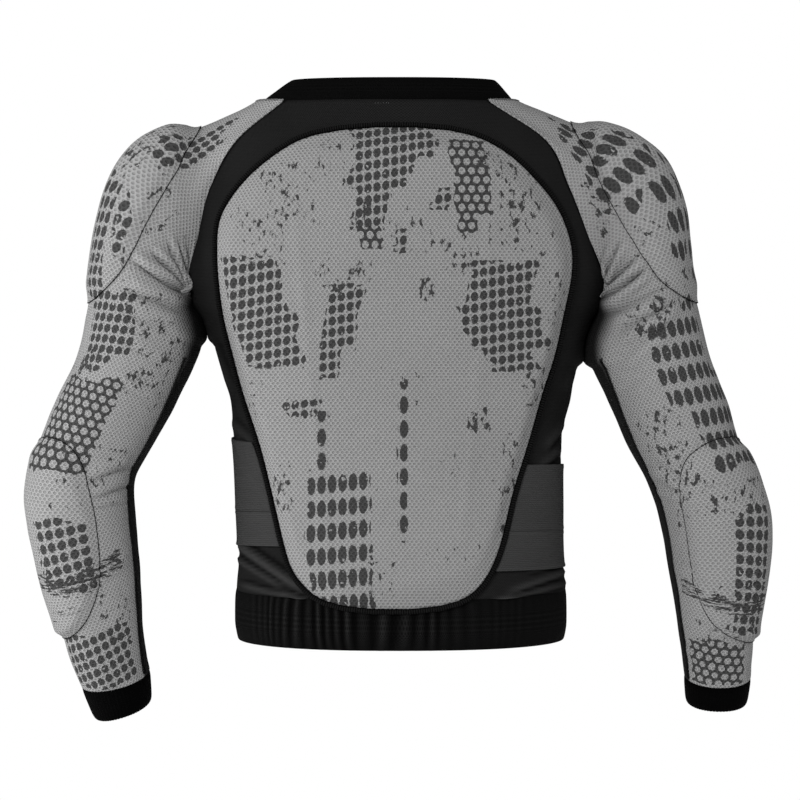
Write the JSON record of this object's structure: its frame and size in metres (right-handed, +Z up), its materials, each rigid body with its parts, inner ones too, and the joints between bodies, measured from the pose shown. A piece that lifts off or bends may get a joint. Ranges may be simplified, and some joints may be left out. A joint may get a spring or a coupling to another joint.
{
  "type": "body protector",
  "caption": "Long-sleeved protective jacket with a padded back, shoulder and elbow pads, stand collar, waist belts and gathered hem.",
  "frame": {"origin": "middle of the neck at the collar seam, where the jacket hangs on the shoulders", "axes": "+Z up, +X towards the wearer's right arm, +Y towards the wearer's front; -Y is the padded back"},
  "size_m": [0.827, 0.2563, 0.7021],
  "materials": {
    "mesh_grey": "matte dimpled mesh",
    "cloth_black": "matte fine knit",
    "collar_black": "matte neoprene",
    "elastic_dark": "ribbed elastic",
    "piping_black": "corded edge",
    "zip_black": "matte"
  },
  "bodies": {
    "root": {"collar": "collar_black", "back_body": "cloth_black", "back_protector": "mesh_grey", "back_piping": "piping_black", "front_panel_left": "cloth_black", "front_panel_right": "cloth_black", "front_zip": "zip_black", "sleeve_left": "mesh_grey", "sleeve_right": "mesh_grey", "shoulder_pad_left": "mesh_grey", "shoulder_pad_right": "mesh_grey", "elbow_pad_left": "mesh_grey", "elbow_pad_right": "mesh_grey", "cuff_left": "cloth_black", "cuff_right": "cloth_black", "hem_band": "cloth_black", "belt_upper_left": "elastic_dark", "belt_upper_right": "elastic_dark", "belt_lower_left": "elastic_dark", "belt_lower_right": "elastic_dark"}
  },
  "joints": []
}
